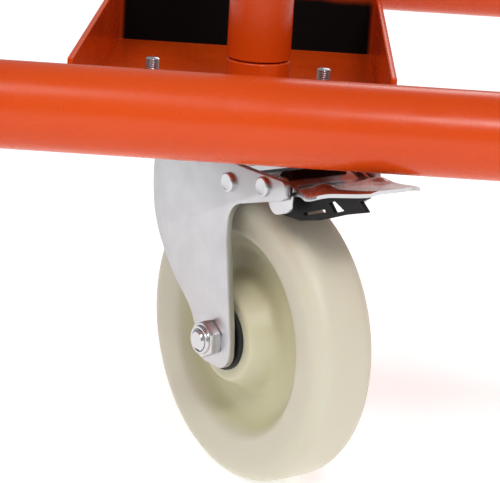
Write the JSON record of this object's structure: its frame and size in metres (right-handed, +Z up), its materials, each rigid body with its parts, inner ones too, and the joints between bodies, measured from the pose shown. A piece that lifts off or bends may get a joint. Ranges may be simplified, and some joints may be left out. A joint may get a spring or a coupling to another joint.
{
  "type": "portable gantry crane",
  "caption": "Portable gantry crane: I-beam with a push trolley on telescopic posts, tray feet between base rails, and braked swivel casters with nylon wheels.",
  "frame": {"origin": "on the floor, under the middle of the I-beam", "axes": "+Z up, +Y along the I-beam, X along the base rails"},
  "size_m": [1.3, 2.3, 1.968],
  "materials": {
    "orange_paint": "glossy powder coat",
    "zinc": "bright zinc plate",
    "nylon": "cream nylon, satin",
    "black_steel": "black, satin",
    "black_plastic": "black, matt",
    "dark_steel": "machined cast iron"
  },
  "bodies": {
    "base": {"rail_end_plugs": "black_plastic", "caster_fasteners": "zinc", "front_outer_rail": "orange_paint", "front_tie_rail": "orange_paint", "front_cross_brace": "orange_paint", "front_left_shoe": "orange_paint", "front_left_lower_post": "orange_paint", "front_left_caster_plate": "zinc", "front_right_shoe": "orange_paint", "front_right_lower_post": "orange_paint", "front_right_caster_plate": "zinc", "rear_outer_rail": "orange_paint", "rear_tie_rail": "orange_paint", "rear_cross_brace": "orange_paint", "rear_left_shoe": "orange_paint", "rear_left_lower_post": "orange_paint", "rear_left_caster_plate": "zinc", "rear_right_shoe": "orange_paint", "rear_right_lower_post": "orange_paint", "rear_right_caster_plate": "zinc"},
    "beam": {"i_beam": "orange_paint", "beam_clamps": "zinc", "end_stops": "zinc", "height_pins": "zinc", "front_inner_posts": "zinc", "front_crosshead": "orange_paint", "rear_inner_posts": "zinc", "rear_crosshead": "orange_paint"},
    "trolley": {"trolley_plates": "orange_paint", "trolley_bolts": "zinc"},
    "eye": {"load_eye": "zinc"},
    "front_left_swivel": {"front_left_fork": "zinc", "front_left_axle_set": "zinc"},
    "front_left_roller": {"front_left_wheel": "nylon", "front_left_bearing": "black_plastic"},
    "front_left_brake": {"front_left_pedal": "zinc", "front_left_brake_shoe": "black_steel"},
    "trolley_wheel_front_left_body": {"trolley_wheel_front_left": "dark_steel"},
    "front_right_swivel": {"front_right_fork": "zinc", "front_right_axle_set": "zinc"},
    "front_right_roller": {"front_right_wheel": "nylon", "front_right_bearing": "black_plastic"},
    "front_right_brake": {"front_right_pedal": "zinc", "front_right_brake_shoe": "black_steel"},
    "trolley_wheel_front_right_body": {"trolley_wheel_front_right": "dark_steel"},
    "rear_left_swivel": {"rear_left_fork": "zinc", "rear_left_axle_set": "zinc"},
    "rear_left_roller": {"rear_left_wheel": "nylon", "rear_left_bearing": "black_plastic"},
    "rear_left_brake": {"rear_left_pedal": "zinc", "rear_left_brake_shoe": "black_steel"},
    "trolley_wheel_rear_left_body": {"trolley_wheel_rear_left": "dark_steel"},
    "rear_right_swivel": {"rear_right_fork": "zinc", "rear_right_axle_set": "zinc"},
    "rear_right_roller": {"rear_right_wheel": "nylon", "rear_right_bearing": "black_plastic"},
    "rear_right_brake": {"rear_right_pedal": "zinc", "rear_right_brake_shoe": "black_steel"},
    "trolley_wheel_rear_right_body": {"trolley_wheel_rear_right": "dark_steel"}
  },
  "joints": [
    {"name": "height", "type": "slide", "parent": "base", "child": "beam", "axis": [0, 0, 1], "range_m": [0, 0.45]},
    {"name": "trolley_travel", "type": "slide", "parent": "beam", "child": "trolley", "axis": [0, 1, 0], "range_m": [-0.74, 0.74]},
    {"name": "load_eye_swing", "type": "hinge", "parent": "trolley", "child": "eye", "pos_m": [0, 0, 1.806], "axis": [1, 0, 0], "range_deg": [-55, 55]},
    {"name": "front_left_swivel_turn", "type": "hinge", "parent": "base", "child": "front_left_swivel", "pos_m": [-0.47, -0.95, 0.2], "axis": [0, 0, 1], "continuous": true},
    {"name": "front_left_wheel_spin", "type": "hinge", "parent": "front_left_swivel", "child": "front_left_roller", "pos_m": [-0.44383, -0.98537, 0.1], "axis": [0.8039, 0.5948, 0], "continuous": true},
    {"name": "front_left_pedal_press", "type": "hinge", "parent": "front_left_swivel", "child": "front_left_brake", "pos_m": [-0.41528, -1.02395, 0.2148], "axis": [0.8039, 0.5948, 0], "range_deg": [0, 8]},
    {"name": "trolley_wheel_front_left_spin", "type": "hinge", "parent": "trolley", "child": "trolley_wheel_front_left_body", "pos_m": [0, -0.055, 1.8827], "axis": [1, 0, 0], "continuous": true},
    {"name": "front_right_swivel_turn", "type": "hinge", "parent": "base", "child": "front_right_swivel", "pos_m": [0.47, -0.95, 0.2], "axis": [0, 0, 1], "continuous": true},
    {"name": "front_right_wheel_spin", "type": "hinge", "parent": "front_right_swivel", "child": "front_right_roller", "pos_m": [0.49617, -0.98537, 0.1], "axis": [0.8039, 0.5948, 0], "continuous": true},
    {"name": "front_right_pedal_press", "type": "hinge", "parent": "front_right_swivel", "child": "front_right_brake", "pos_m": [0.52472, -1.02395, 0.2148], "axis": [0.8039, 0.5948, 0], "range_deg": [0, 8]},
    {"name": "trolley_wheel_front_right_spin", "type": "hinge", "parent": "trolley", "child": "trolley_wheel_front_right_body", "pos_m": [0, -0.055, 1.8827], "axis": [1, 0, 0], "continuous": true},
    {"name": "rear_left_swivel_turn", "type": "hinge", "parent": "base", "child": "rear_left_swivel", "pos_m": [-0.47, 0.95, 0.2], "axis": [0, 0, 1], "continuous": true},
    {"name": "rear_left_wheel_spin", "type": "hinge", "parent": "rear_left_swivel", "child": "rear_left_roller", "pos_m": [-0.44383, 0.91463, 0.1], "axis": [0.8039, 0.5948, 0], "continuous": true},
    {"name": "rear_left_pedal_press", "type": "hinge", "parent": "rear_left_swivel", "child": "rear_left_brake", "pos_m": [-0.41528, 0.87604, 0.2148], "axis": [0.8039, 0.5948, 0], "range_deg": [0, 8]},
    {"name": "trolley_wheel_rear_left_spin", "type": "hinge", "parent": "trolley", "child": "trolley_wheel_rear_left_body", "pos_m": [0, 0.055, 1.8827], "axis": [1, 0, 0], "continuous": true},
    {"name": "rear_right_swivel_turn", "type": "hinge", "parent": "base", "child": "rear_right_swivel", "pos_m": [0.47, 0.95, 0.2], "axis": [0, 0, 1], "continuous": true},
    {"name": "rear_right_wheel_spin", "type": "hinge", "parent": "rear_right_swivel", "child": "rear_right_roller", "pos_m": [0.49617, 0.91463, 0.1], "axis": [0.8039, 0.5948, 0], "continuous": true},
    {"name": "rear_right_pedal_press", "type": "hinge", "parent": "rear_right_swivel", "child": "rear_right_brake", "pos_m": [0.52472, 0.87604, 0.2148], "axis": [0.8039, 0.5948, 0], "range_deg": [0, 8]},
    {"name": "trolley_wheel_rear_right_spin", "type": "hinge", "parent": "trolley", "child": "trolley_wheel_rear_right_body", "pos_m": [0, 0.055, 1.8827], "axis": [1, 0, 0], "continuous": true}
  ],
  "couplings": [
    {"joint": "trolley_wheel_front_left_spin", "follows": "trolley_travel", "rad_per_m": -35.714},
    {"joint": "trolley_wheel_front_right_spin", "follows": "trolley_travel", "rad_per_m": -35.714},
    {"joint": "trolley_wheel_rear_left_spin", "follows": "trolley_travel", "rad_per_m": -35.714},
    {"joint": "trolley_wheel_rear_right_spin", "follows": "trolley_travel", "rad_per_m": -35.714}
  ]
}
